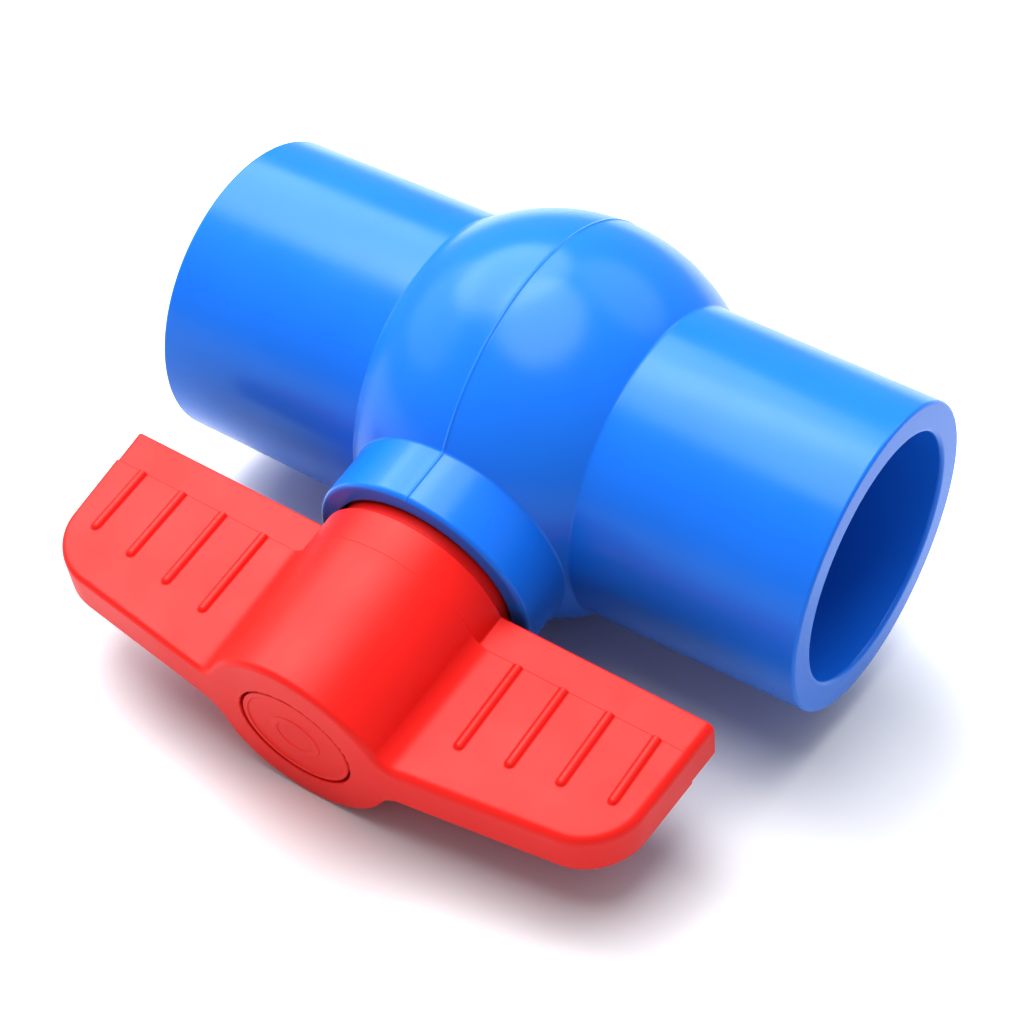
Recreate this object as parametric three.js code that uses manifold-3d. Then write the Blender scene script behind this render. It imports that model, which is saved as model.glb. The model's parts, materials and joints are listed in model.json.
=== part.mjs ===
// Compact quarter-turn ball valve with two plain solvent-weld sockets and a wing handle.
//
// The valve is drawn in its own axes first: ball centre at the origin, pipe axis along X, stem and
// handle along -Y. "reach" is a distance along the stem, measured from the ball centre towards the
// handle. At the end the whole valve is laid down the way it rests on a table, on the underside of
// its bulge and the lower rim of its handle hub, with the middle of its footprint at the origin.
// Millimetres, +Z up.

import * as THREE from 'three';
import { mergeVertices } from 'three/addons/utils/BufferGeometryUtils.js';
import Module from 'manifold-3d';

const wasm = await Module();
wasm.setup();

const rad = THREE.MathUtils.degToRad;

// ---- Driving dimensions ------------------------------------------------------------------------

const GAP = 0.3; // running gap between neighbouring pieces
const ROUND_STEPS = 48; // facets round a large turned piece
const BULGE_STEPS = 15; // facets along the bulge: odd, so that the valve lies on a flat band
const INNER_STEPS = 32; // facets round a seat, its carrier or its O-ring
const SMALL_STEPS = 24; // facets round a small turned piece
const WIRE_STEPS = 8; // facets round the wire of an O-ring

// Body
const HALF_LENGTH = 46.65; // ball centre to socket face
const SOCKET_OUTER = 20.5; // outer radius of a socket where it leaves the bulge
const SOCKET_OUTER_END = 20.2; // and at its mouth: mould draft
const SOCKET_MOUTH = 16.15; // socket bore for 32 mm pipe, widest at the mouth
const SOCKET_ROOT = 15.95; // and tightest at the pipe stop
const MOUTH_CHAMFER = 0.35;
const SOCKET_DEPTH = 22;
const BULGE_RADIUS = 25.95; // the ball housing is a true sphere outside
const COLLAR_RADIUS = 15.4;
const COLLAR_REACH = 28.9; // rim of the collar
const COLLAR_EDGE = 0.7; // rounding of the rim
const RECESS_RADIUS = 12.75; // inside of the collar
const RECESS_FLOOR = 23.6;
const BOSS_RADIUS = 9; // stem gland standing in the collar
const BOSS_REACH = 28.6;
const STOP_KEY_HALF_ANGLE = 9; // degrees; two keys limit the handle to a quarter turn
const STOP_KEY_REACH = 26.2;
const STOP_KEY_PLAY = 1.2; // degrees between a key and the end of its notch

// Flow way, ball and seats
const BORE_RADIUS = 12.5;
const BORE_CHAMFER = 0.5;
const BALL_RADIUS = 19;
const BALL_CAVITY_RADIUS = 19.7;
const SLOT_HALF_WIDTH = 2.5; // drive slot in the ball, across its bore
const SLOT_FLOOR = 14.5;
const CARRIER_RADIUS = 17.4;
const CARRIER_BACK = 22; // back face of a seat carrier, measured along the pipe
const SEAT_INNER = 13.6;
const SEAT_OUTER = 15.9;
const SEAT_BACK = 15.2;
const BACK_RING_RADIUS = 15.5; // O-ring that pushes a carrier on to the ball
const BACK_RING_WIRE = 0.8;

// Stem
const STEM_RADIUS = 5.2;
const STEM_FLANGE_RADIUS = 8.3; // keeps the stem from being blown out
const STEM_FLANGE_REACH = [19.3, 21.3];
const WASHER_REACH = [21.6, 22.4];
const GLAND_SHOULDER = 22.7;
const TANG_HALF = [2.2, 7.4]; // half thickness along the pipe, half width across it
const TANG_REACH = 14.9;
const STEM_RING_REACHES = { lower: 24.3, upper: 26.9 };
const STEM_RING_RADIUS = 4.55;
const STEM_RING_WIRE = 0.65;
const DRIVE_SQUARE = 7; // across the flats
const DRIVE_REACH = [29.9, 38];
const SCREW_HOLE_RADIUS = 2;

// Handle
const HANDLE_ANGLE = 2.2; // degrees past the open stop, towards closed
const QUARTER_TURN = 90;
const WING_HALF_LENGTH = 42.35; // at the edge next to the body
const WING_HALF_THICKNESS = 3.4;
const WING_INNER_REACH = 30.5; // straight edge next to the body
const WING_OUTER_REACH = 55.5; // outer edge beside the hub
const WING_END_SLANT = 3.6; // degrees; the wing ends lean in a little, going outwards
const WING_EDGE_START = 11; // where the outer edge leaves the end of the hub, from the middle
const WING_EDGE_SLANT = 7.8; // degrees; the outer edge falls back towards the tips
const WING_CORNER_RADIUS = 6.5;
const WING_EDGE = 1.2; // rounding of the outer edges
const HUB_RADIUS = 13.4;
const HUB_RADIUS_END = 12.8;
const HUB_EDGE = 0.8;
const HUB_FILLET = 1.8;
const FILLET_SINK = 0.6; // how far the fillet's solid reaches into the wing, to join it
const FILLET_STEPS = 6;
const HUB_REACH = 55.5;
const TURNING_CLEARANCE = 0.4; // between the handle and what it turns round, and in its drive socket
const SPIGOT_RADIUS = 12.35; // the part of the hub that turns inside the collar
const SPIGOT_REACH = 24;
const RIB_COUNT = 4; // grip ribs on each face of each wing
const RIB_FIRST = 18.6;
const RIB_SPACING = 6.31;
const RIB_WIDTH = 1.2;
const RIB_HEIGHT = 0.45;
const RIB_REACH = [35.4, 48.5]; // straight inner end, round outer end of the first rib
const RIB_SLANT = 0.157; // how much sooner each following rib ends, per millimetre outwards
const SCREW_WELL_RADIUS = 6.5;
const SCREW_WELL_FLOOR = 41.5;
const CAP_RECESS_RADIUS = 7.9;
const CAP_RECESS_FLOOR = 53.6;
const CAP_THICKNESS = 1.5;
const CAP_SKIRT_DEPTH = 3.3;
const CAP_SKIRT_WALL = 1.2;
const CAP_EDGE = 0.25;
const SCREW_HEAD_RADIUS = 4.2;
const SCREW_HEAD_HEIGHT = 2.8;
const SCREW_SHANK_RADIUS = 1.7;
const SCREW_TIP_REACH = 30.5;
const SCREW_TIP_LENGTH = 1.6;
const SCREW_CROSS = { half: 2.1, halfWidth: 0.5, depth: 1.7 }; // recess for a cross screwdriver

const PIPE_STOP = HALF_LENGTH - SOCKET_DEPTH;
const CARRIER_POCKET = CARRIER_RADIUS + GAP;

// ---- Materials ---------------------------------------------------------------------------------

const bluePlastic = new THREE.MeshStandardMaterial({ color: 0x1560d8, roughness: 0.32 });
const redPlastic = new THREE.MeshStandardMaterial({ color: 0xe0251e, roughness: 0.42 });
const whitePlastic = new THREE.MeshStandardMaterial({ color: 0xe9e6dc, roughness: 0.35 });
const greyPlastic = new THREE.MeshStandardMaterial({ color: 0x9aa0a6, roughness: 0.45 });
const seatPlastic = new THREE.MeshStandardMaterial({ color: 0xf4f1e8, roughness: 0.5 });
const blackRubber = new THREE.MeshStandardMaterial({ color: 0x141414, roughness: 0.7 });
const steel = new THREE.MeshStandardMaterial({ color: 0xb8bcc0, roughness: 0.3, metalness: 1 });

// ---- Solid helpers -----------------------------------------------------------------------------

// Closed three.js geometry to a solid that can be joined and cut.
function solid(geometry) {
  geometry.deleteAttribute('normal');
  geometry.deleteAttribute('uv');
  const merged = mergeVertices(geometry, 1e-4);
  const index = Array.from(merged.index.array);
  const triangles = [];
  for (let i = 0; i < index.length; i += 3) {
    const [a, b, c] = index.slice(i, i + 3);
    if (a !== b && b !== c && c !== a) triangles.push(a, b, c);
  }
  const vertProperties = new Float32Array(merged.attributes.position.array);
  const triVerts = new Uint32Array(triangles);
  return new wasm.Manifold(new wasm.Mesh({ numProp: 3, vertProperties, triVerts }));
}

// The solid back as a named mesh.
function named(name, material, shape) {
  const { vertProperties, triVerts } = shape.getMesh();
  const geometry = new THREE.BufferGeometry();
  geometry.setAttribute('position', new THREE.BufferAttribute(vertProperties, 3));
  geometry.setIndex(new THREE.BufferAttribute(triVerts, 1));
  geometry.computeVertexNormals();
  const mesh = new THREE.Mesh(geometry, material);
  mesh.name = name;
  return mesh;
}

// A closed [radius, height] outline turned about Y.
function turned(outline, steps) {
  const points = outline.map(([radius, height]) => new THREE.Vector2(radius, height));
  return new THREE.LatheGeometry(points.concat(points[0].clone()), steps);
}

// The same about the pipe: height runs along +X.
function turnedOnPipe(outline, steps = ROUND_STEPS) {
  return solid(turned(outline, steps).rotateZ(-Math.PI / 2));
}

// The same about the stem: height is the reach, along -Y.
function turnedOnStem(outline, steps = SMALL_STEPS) {
  return solid(turned(outline, steps).rotateX(Math.PI));
}

// Plain disc or ring about the stem.
function stemRing(inner, outer, from, to, steps = SMALL_STEPS) {
  return turnedOnStem([[inner, from], [outer, from], [outer, to], [inner, to]], steps);
}

// A flat shape, drawn as seen from the handle end (x right, z up), pushed along the stem.
function alongStem(shape, from, to) {
  const options = { depth: to - from, bevelEnabled: false, curveSegments: 8 };
  return solid(new THREE.ExtrudeGeometry(shape, options).rotateX(Math.PI / 2).translate(0, -from, 0));
}

// Part of a ring about the stem, between two angles in degrees as seen from the handle end.
function stemSector(inner, outer, from, to, startAngle, endAngle) {
  const shape = new THREE.Shape();
  shape.absarc(0, 0, outer, rad(startAngle), rad(endAngle), false);
  shape.absarc(0, 0, inner, rad(endAngle), rad(startAngle), true);
  return alongStem(shape, from, to);
}

// Box given by its half sizes across the stem and its reaches along it.
function stemBox(halfX, halfZ, from, to) {
  const box = new THREE.BoxGeometry(2 * halfX, to - from, 2 * halfZ);
  return solid(box.translate(0, -(from + to) / 2, 0));
}

// Points along an arc, in [radius, height] form: centre, arc radius, start and end angle in degrees
// measured from the radius direction towards the height direction.
function arc(centre, radius, start, end, steps) {
  const points = [];
  for (let i = 0; i <= steps; i += 1) {
    const angle = rad(start + ((end - start) * i) / steps);
    points.push([centre[0] + radius * Math.cos(angle), centre[1] + radius * Math.sin(angle)]);
  }
  return points;
}

// Height at which a sphere about the ball centre has the given radius.
function onSphere(sphere, radius) {
  return Math.sqrt(sphere * sphere - radius * radius);
}

// Outline of an O-ring: radius of its centre line, radius of its wire, place along its axis.
function ringOutline(radius, wire, place) {
  return arc([radius, place], wire, 0, 360 - 360 / WIRE_STEPS, WIRE_STEPS - 1);
}

// ---- Body --------------------------------------------------------------------------------------

// Outside of the body without its collar: socket, spherical bulge, socket.
function bodyOutside() {
  const junction = THREE.MathUtils.radToDeg(Math.acos(SOCKET_OUTER / BULGE_RADIUS));
  return turnedOnPipe([
    [0, -HALF_LENGTH],
    [SOCKET_OUTER_END, -HALF_LENGTH],
    ...arc([0, 0], BULGE_RADIUS, -junction, junction, BULGE_STEPS),
    [SOCKET_OUTER_END, HALF_LENGTH],
    [0, HALF_LENGTH],
  ]);
}

// Everything hollow along the pipe: sockets, flow way, carrier pockets and ball cavity.
function bodyHollow() {
  const cavity = THREE.MathUtils.radToDeg(Math.acos(CARRIER_POCKET / BALL_CAVITY_RADIUS));
  const half = [
    [CARRIER_POCKET, CARRIER_BACK + GAP],
    [BORE_RADIUS, CARRIER_BACK + GAP],
    [BORE_RADIUS, PIPE_STOP],
    [SOCKET_ROOT, PIPE_STOP],
    [SOCKET_MOUTH, HALF_LENGTH - MOUTH_CHAMFER],
    [SOCKET_MOUTH + 2 * MOUTH_CHAMFER, HALF_LENGTH + MOUTH_CHAMFER],
    [0, HALF_LENGTH + MOUTH_CHAMFER],
  ];
  const otherHalf = half.map(([radius, height]) => [radius, -height]).reverse();
  return turnedOnPipe([
    ...otherHalf,
    ...arc([0, 0], BALL_CAVITY_RADIUS, -cavity, cavity, 8),
    ...half,
  ]);
}

function collar() {
  const edge = arc([COLLAR_RADIUS - COLLAR_EDGE, COLLAR_REACH - COLLAR_EDGE], COLLAR_EDGE, 0, 90, 3);
  return turnedOnStem([[0, 2], [COLLAR_RADIUS, 2], ...edge, [0, COLLAR_REACH]], ROUND_STEPS);
}

// Bore for the stem, with a counterbore under it for the stem flange and washer.
function gland() {
  const clearance = STEM_RADIUS + GAP;
  const counterbore = STEM_FLANGE_RADIUS + GAP;
  return turnedOnStem([
    [0, BORE_RADIUS],
    [counterbore, BORE_RADIUS],
    [counterbore, GLAND_SHOULDER],
    [clearance, GLAND_SHOULDER],
    [clearance, COLLAR_REACH + 1],
    [0, COLLAR_REACH + 1],
  ]);
}

function body() {
  const recess = stemRing(BOSS_RADIUS, RECESS_RADIUS, RECESS_FLOOR, COLLAR_REACH + 1, ROUND_STEPS);
  const bossTop = stemRing(STEM_RADIUS, BOSS_RADIUS + 0.5, BOSS_REACH, COLLAR_REACH + 1);
  let shape = bodyOutside().add(collar());
  shape = shape.subtract(bodyHollow()).subtract(recess).subtract(bossTop).subtract(gland());
  for (const side of [0, 180]) {
    const [start, end] = [side - STOP_KEY_HALF_ANGLE, side + STOP_KEY_HALF_ANGLE];
    const key = stemSector(BOSS_RADIUS - 0.3, RECESS_RADIUS + 0.3, RECESS_FLOOR - 0.2, STOP_KEY_REACH,
      start, end);
    shape = shape.add(key);
  }
  return named('body', bluePlastic, shape);
}

// ---- Ball and seats ----------------------------------------------------------------------------

function ball() {
  const edge = BORE_RADIUS + BORE_CHAMFER;
  const edgeAngle = THREE.MathUtils.radToDeg(Math.acos(edge / BALL_RADIUS));
  const bored = turnedOnPipe([
    ...arc([0, 0], BALL_RADIUS, -edgeAngle, edgeAngle, 18),
    [BORE_RADIUS, onSphere(BALL_RADIUS, edge) - BORE_CHAMFER],
    [BORE_RADIUS, BORE_CHAMFER - onSphere(BALL_RADIUS, edge)],
  ]);
  const slot = stemBox(SLOT_HALF_WIDTH, BALL_RADIUS, SLOT_FLOOR, BALL_RADIUS + 1);
  return named('ball', whitePlastic, bored.subtract(slot));
}

// Points of a face that follows the ball, between two radii about the pipe.
function ballFace(from, to, steps) {
  const sphere = BALL_RADIUS + GAP;
  const points = [];
  for (let i = 0; i <= steps; i += 1) {
    const radius = from + ((to - from) * i) / steps;
    points.push([radius, onSphere(sphere, radius)]);
  }
  return points;
}

function seatOutline() {
  return [[SEAT_INNER, SEAT_BACK], ...ballFace(SEAT_INNER, SEAT_OUTER, 3), [SEAT_OUTER, SEAT_BACK]];
}

// Ring behind a seat, with a pocket for the seat in front and a groove for its O-ring behind.
function carrierOutline() {
  const pocket = [SEAT_INNER - GAP, SEAT_OUTER + GAP];
  const grooveHalf = BACK_RING_WIRE + 0.35;
  const groove = [BACK_RING_RADIUS - grooveHalf, BACK_RING_RADIUS + grooveHalf];
  const grooveFloor = CARRIER_BACK - 2 * BACK_RING_WIRE - GAP;
  return [
    [BORE_RADIUS, CARRIER_BACK],
    ...ballFace(BORE_RADIUS, pocket[0], 1),
    [pocket[0], SEAT_BACK + GAP],
    [pocket[1], SEAT_BACK + GAP],
    ...ballFace(pocket[1], CARRIER_RADIUS, 1),
    [CARRIER_RADIUS, CARRIER_BACK],
    [groove[1], CARRIER_BACK],
    [groove[1], grooveFloor],
    [groove[0], grooveFloor],
    [groove[0], CARRIER_BACK],
  ];
}

// One piece on the left or right of the ball. Its outline is drawn for the right; the left-hand
// copy is mirrored, and run the other way so that it still faces outwards.
function sidePiece(name, side, material, outline) {
  const placed = side > 0 ? outline : outline.map(([radius, along]) => [radius, -along]).reverse();
  return named(name, material, turnedOnPipe(placed, INNER_STEPS));
}

function seats() {
  const backRing = ringOutline(BACK_RING_RADIUS, BACK_RING_WIRE, CARRIER_BACK - BACK_RING_WIRE);
  return [['left', -1], ['right', 1]].flatMap(([word, side]) => [
    sidePiece(`seat_${word}`, side, seatPlastic, seatOutline()),
    sidePiece(`seat_carrier_${word}`, side, greyPlastic, carrierOutline()),
    sidePiece(`seat_oring_${word}`, side, blackRubber, backRing),
  ]);
}

// ---- Stem --------------------------------------------------------------------------------------

function stem() {
  const grooveHalf = STEM_RING_WIRE + 0.3;
  const grooveFloor = STEM_RING_RADIUS - STEM_RING_WIRE - GAP;
  const grooves = Object.values(STEM_RING_REACHES).flatMap((reach) => [
    [STEM_RADIUS, reach - grooveHalf],
    [grooveFloor, reach - grooveHalf],
    [grooveFloor, reach + grooveHalf],
    [STEM_RADIUS, reach + grooveHalf],
  ]);
  const shaft = turnedOnStem([
    [0, STEM_FLANGE_REACH[0]],
    [STEM_FLANGE_RADIUS, STEM_FLANGE_REACH[0]],
    [STEM_FLANGE_RADIUS, STEM_FLANGE_REACH[1]],
    [STEM_RADIUS, STEM_FLANGE_REACH[1]],
    ...grooves,
    [STEM_RADIUS, DRIVE_REACH[0]],
    [0, DRIVE_REACH[0]],
  ]);
  const tang = stemBox(TANG_HALF[0], TANG_HALF[1], TANG_REACH, STEM_FLANGE_REACH[0] + 0.5);
  const drive = stemBox(DRIVE_SQUARE / 2, DRIVE_SQUARE / 2, DRIVE_REACH[0] - 0.5, DRIVE_REACH[1]);
  const screwHole = stemRing(0, SCREW_HOLE_RADIUS, SCREW_TIP_REACH - 1, DRIVE_REACH[1] + 1, 20);
  return named('stem', greyPlastic, shaft.add(tang).add(drive).subtract(screwHole));
}

function stemSeals() {
  const rings = Object.entries(STEM_RING_REACHES).map(([word, reach]) => (
    named(`stem_oring_${word}`, blackRubber,
      turnedOnStem(ringOutline(STEM_RING_RADIUS, STEM_RING_WIRE, reach)))
  ));
  const [from, to] = WASHER_REACH;
  const washer = stemRing(STEM_RADIUS + GAP, STEM_FLANGE_RADIUS, from, to);
  return [...rings, named('stem_washer', seatPlastic, washer)];
}

// ---- Handle ------------------------------------------------------------------------------------

// Centre of the rounding of a wing's outer corner: it lies one radius inside both straight edges.
function wingCorner() {
  const [end, edge] = [rad(WING_END_SLANT), rad(WING_EDGE_SLANT)];
  const fromEnd = Math.cos(end) * WING_HALF_LENGTH + Math.sin(end) * WING_INNER_REACH
    - WING_CORNER_RADIUS;
  const fromEdge = Math.sin(edge) * WING_EDGE_START + Math.cos(edge) * WING_OUTER_REACH - WING_CORNER_RADIUS;
  return {
    x: (fromEnd * Math.cos(edge) - fromEdge * Math.sin(end)) / Math.cos(end + edge),
    reach: (fromEdge * Math.cos(end) - fromEnd * Math.sin(edge)) / Math.cos(end + edge),
  };
}

// Outline of both wings, seen from above: x right, y is the reach.
function wingOutline(overlap) {
  const centre = wingCorner();
  const innerHalf = WING_HALF_LENGTH + overlap * Math.tan(rad(WING_END_SLANT));
  const from = rad(WING_END_SLANT);
  const to = Math.PI / 2 - rad(WING_EDGE_SLANT);
  const shape = new THREE.Shape();
  shape.moveTo(-innerHalf, WING_INNER_REACH - overlap);
  shape.lineTo(innerHalf, WING_INNER_REACH - overlap);
  shape.absarc(centre.x, centre.reach, WING_CORNER_RADIUS, from, to, false);
  shape.lineTo(WING_EDGE_START, WING_OUTER_REACH);
  shape.lineTo(-WING_EDGE_START, WING_OUTER_REACH);
  shape.absarc(-centre.x, centre.reach, WING_CORNER_RADIUS, Math.PI - to, Math.PI - from, false);
  return shape;
}

// Both wings as one plate, rounded along its outer edges and square along the edge by the body.
function wings() {
  const overlap = 4;
  const flat = WING_HALF_THICKNESS - WING_EDGE;
  const plate = new THREE.ExtrudeGeometry(wingOutline(overlap), {
    depth: 2 * flat,
    bevelSize: WING_EDGE,
    bevelOffset: -WING_EDGE,
    bevelThickness: WING_EDGE,
    bevelSegments: 3,
    curveSegments: 8,
  });
  plate.translate(0, 0, -flat).rotateZ(Math.PI);
  const trim = stemBox(2 * WING_HALF_LENGTH, 2 * WING_HALF_THICKNESS, WING_INNER_REACH - 2 * overlap,
    WING_INNER_REACH);
  return solid(plate).subtract(trim);
}

// Grip rib standing proud of both faces of a wing, with a round outer end.
function rib(x) {
  const half = RIB_WIDTH / 2;
  const outer = RIB_REACH[1] - RIB_SLANT * (Math.abs(x) - RIB_FIRST) - half;
  const height = WING_HALF_THICKNESS + RIB_HEIGHT;
  const shape = new THREE.Shape();
  shape.moveTo(x - half, RIB_REACH[0]);
  shape.lineTo(x + half, RIB_REACH[0]);
  shape.absarc(x, outer, half, 0, Math.PI, false);
  const options = { depth: 2 * height, bevelEnabled: false, curveSegments: 6 };
  const bar = new THREE.ExtrudeGeometry(shape, options);
  return solid(bar.translate(0, 0, -height).rotateZ(Math.PI));
}

// Concave fillet that fills the corner between the hub and one face of a wing.
function hubFillet(sideX, sideZ) {
  const radius = HUB_RADIUS_END;
  const centreZ = WING_HALF_THICKNESS + HUB_FILLET;
  const centreX = Math.sqrt((radius + HUB_FILLET) ** 2 - centreZ ** 2);
  const touch = Math.atan2(-centreZ, -centreX);
  const shape = new THREE.Shape();
  const floor = WING_HALF_THICKNESS - FILLET_SINK;
  shape.moveTo(sideX * centreX, sideZ * floor);
  for (let i = 0; i <= FILLET_STEPS; i += 1) {
    const angle = -Math.PI / 2 + ((touch + Math.PI / 2) * i) / FILLET_STEPS;
    const x = centreX + HUB_FILLET * Math.cos(angle);
    const z = centreZ + HUB_FILLET * Math.sin(angle);
    shape.lineTo(sideX * x, sideZ * z);
  }
  shape.lineTo(sideX * (radius - HUB_FILLET), sideZ * floor);
  return alongStem(shape, RIB_REACH[0], HUB_REACH - HUB_EDGE);
}

function hub() {
  const edge = arc([HUB_RADIUS_END - HUB_EDGE, HUB_REACH - HUB_EDGE], HUB_EDGE, 0, 90, 3);
  return turnedOnStem([
    [0, SPIGOT_REACH],
    [SPIGOT_RADIUS, SPIGOT_REACH],
    [SPIGOT_RADIUS, WING_INNER_REACH],
    [HUB_RADIUS, WING_INNER_REACH],
    ...edge,
    [0, HUB_REACH],
  ], ROUND_STEPS);
}

// Everything hollow in the hub: gland clearance, drive socket, screw hole, screw well, cap recess.
function hubHollow() {
  const bossRoof = BOSS_REACH + GAP;
  const socketRoof = DRIVE_REACH[1] + TURNING_CLEARANCE;
  const screwClearance = SCREW_HOLE_RADIUS + GAP;
  const turnedHollow = turnedOnStem([
    [0, SPIGOT_REACH - 1],
    [BOSS_RADIUS + TURNING_CLEARANCE, SPIGOT_REACH - 1],
    [BOSS_RADIUS + TURNING_CLEARANCE, bossRoof],
    [STEM_RADIUS + TURNING_CLEARANCE, bossRoof],
    [STEM_RADIUS + TURNING_CLEARANCE, DRIVE_REACH[0] + GAP],
    [screwClearance, DRIVE_REACH[0] + GAP],
    [screwClearance, SCREW_WELL_FLOOR],
    [SCREW_WELL_RADIUS, SCREW_WELL_FLOOR],
    [SCREW_WELL_RADIUS, CAP_RECESS_FLOOR],
    [CAP_RECESS_RADIUS, CAP_RECESS_FLOOR],
    [CAP_RECESS_RADIUS, HUB_REACH + 1],
    [0, HUB_REACH + 1],
  ]);
  const half = DRIVE_SQUARE / 2 + GAP;
  return turnedHollow.add(stemBox(half, half, DRIVE_REACH[0], socketRoof));
}

// Room in the spigot for the body's two stop keys to sweep a quarter turn.
function stopNotches() {
  const margin = STOP_KEY_HALF_ANGLE + STOP_KEY_PLAY;
  const cuts = [0, 180].map((side) => stemSector(BOSS_RADIUS - 0.5, SPIGOT_RADIUS + 1, SPIGOT_REACH - 1,
    STOP_KEY_REACH + TURNING_CLEARANCE, side - margin, side + QUARTER_TURN + margin));
  return cuts[0].add(cuts[1]);
}

function handle() {
  let shape = hub().add(wings());
  for (let i = 0; i < RIB_COUNT; i += 1) {
    const x = RIB_FIRST + i * RIB_SPACING;
    shape = shape.add(rib(x)).add(rib(-x));
  }
  for (const [sideX, sideZ] of [[1, 1], [1, -1], [-1, 1], [-1, -1]]) {
    shape = shape.add(hubFillet(sideX, sideZ));
  }
  return named('handle', redPlastic, shape.subtract(hubHollow()).subtract(stopNotches()));
}

function handleScrew() {
  const seat = SCREW_WELL_FLOOR + GAP;
  const top = seat + SCREW_HEAD_HEIGHT;
  const blank = turnedOnStem([
    [0, SCREW_TIP_REACH],
    [SCREW_SHANK_RADIUS * 0.4, SCREW_TIP_REACH],
    [SCREW_SHANK_RADIUS, SCREW_TIP_REACH + SCREW_TIP_LENGTH],
    [SCREW_SHANK_RADIUS, seat],
    [SCREW_HEAD_RADIUS, seat],
    [SCREW_HEAD_RADIUS, top - 1.2],
    [SCREW_HEAD_RADIUS * 0.88, top - 0.4],
    [SCREW_HEAD_RADIUS * 0.62, top],
    [0, top],
  ], 24);
  const { half, halfWidth, depth } = SCREW_CROSS;
  const upright = stemBox(halfWidth, half, top - depth, top + 1);
  const level = stemBox(half, halfWidth, top - depth, top + 1);
  return named('handle_screw', steel, blank.subtract(upright).subtract(level));
}

// Snap-in disc that closes the screw well.
function handleCap() {
  const face = CAP_RECESS_FLOOR + GAP + CAP_THICKNESS;
  const back = CAP_RECESS_FLOOR + GAP;
  const disc = CAP_RECESS_RADIUS - GAP;
  const skirt = SCREW_WELL_RADIUS - GAP;
  return named('handle_cap', redPlastic, turnedOnStem([
    [0, back],
    [skirt - CAP_SKIRT_WALL, back],
    [skirt - CAP_SKIRT_WALL, back - CAP_SKIRT_DEPTH],
    [skirt, back - CAP_SKIRT_DEPTH],
    [skirt, back],
    [disc, back],
    [disc, face - CAP_EDGE],
    [disc - CAP_EDGE, face],
    [0, face],
  ], ROUND_STEPS));
}

// ---- Assembly ----------------------------------------------------------------------------------

// Tilt about the pipe at which the lower rim of the hub reaches the table under the bulge.
function lyingTilt() {
  const rim = [HUB_REACH - HUB_EDGE, HUB_RADIUS_END];
  return Math.asin(BULGE_RADIUS / Math.hypot(...rim)) - Math.atan2(rim[1], rim[0]);
}

function valve() {
  const fixed = [body(), ...seats()];
  const turning = new THREE.Group();
  turning.add(ball(), stem(), ...stemSeals(), handle(), handleScrew(), handleCap());
  turning.rotation.y = rad(HANDLE_ANGLE);
  const lying = new THREE.Group();
  lying.add(...fixed, turning);
  lying.rotation.x = lyingTilt();
  const group = new THREE.Group();
  group.add(lying);
  group.updateMatrixWorld(true);
  const box = new THREE.Box3().setFromObject(group, true);
  const centre = box.getCenter(new THREE.Vector3());
  lying.position.set(-centre.x, -centre.y, -box.min.z);
  group.updateMatrixWorld(true);
  return group;
}

export default valve();
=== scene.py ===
"""Looks of a plastic quarter-turn ball valve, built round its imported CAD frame.

Shapes are drawn in millimetres in the valve's own axes: ball centre at the origin, pipe along X,
stem and handle along -Y. "reach" is a distance along the stem from the ball centre towards the
handle. The handle's joint in the record says where that frame lies on the table.
"""

import json
import math

import bmesh
import bpy
import numpy as np
from mathutils import Matrix, Vector


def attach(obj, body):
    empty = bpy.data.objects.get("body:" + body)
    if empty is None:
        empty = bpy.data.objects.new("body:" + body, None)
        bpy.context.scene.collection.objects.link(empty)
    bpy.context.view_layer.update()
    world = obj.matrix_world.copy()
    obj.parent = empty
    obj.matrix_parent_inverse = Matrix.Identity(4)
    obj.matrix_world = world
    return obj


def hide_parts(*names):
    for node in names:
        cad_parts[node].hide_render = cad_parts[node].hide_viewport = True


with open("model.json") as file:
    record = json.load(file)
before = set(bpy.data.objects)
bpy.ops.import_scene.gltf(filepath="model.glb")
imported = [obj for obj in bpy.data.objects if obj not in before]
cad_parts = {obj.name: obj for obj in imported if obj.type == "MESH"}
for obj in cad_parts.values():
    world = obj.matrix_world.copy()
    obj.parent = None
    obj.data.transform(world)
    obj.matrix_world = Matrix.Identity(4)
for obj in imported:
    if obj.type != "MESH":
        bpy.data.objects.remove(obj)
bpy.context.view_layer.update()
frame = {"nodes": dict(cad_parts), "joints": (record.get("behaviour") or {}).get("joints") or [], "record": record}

MM = 0.001
STILL, TURNING = "valve_body", "handle_and_ball"  # the two bodies of the frame

# ---- Driving dimensions, in millimetres and degrees ---------------------------------------------

GAP = 0.3  # between neighbouring pieces

HALF_LENGTH = 46.65  # ball centre to socket face
SOCKET_OUTER = 20.5  # at the bulge
SOCKET_OUTER_END = 20.2  # at the mouth: mould draft
SOCKET_MOUTH = 16.15
SOCKET_ROOT = 15.95
MOUTH_OUTER_EDGE = 0.45
MOUTH_INNER_EDGE = 0.6
PIPE_STOP = 24.65
BULGE = 25.95
SOCKET_FILLET = 0.8
STOP_CORNER = 0.6  # roundings inside the body, from the mouth inwards
BORE_EDGE = 0.4
POCKET_EDGE = 0.15
POCKET_CORNER = 0.3
FLASH_HEIGHT = 0.12  # raised parting line round the middle of the bulge
FLASH_WIDTH = 0.17
FLASH_PLACES = [0.08, 0.16, 0.24, 0.34, 0.5, 0.75]  # where the outline has points beside the line

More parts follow.
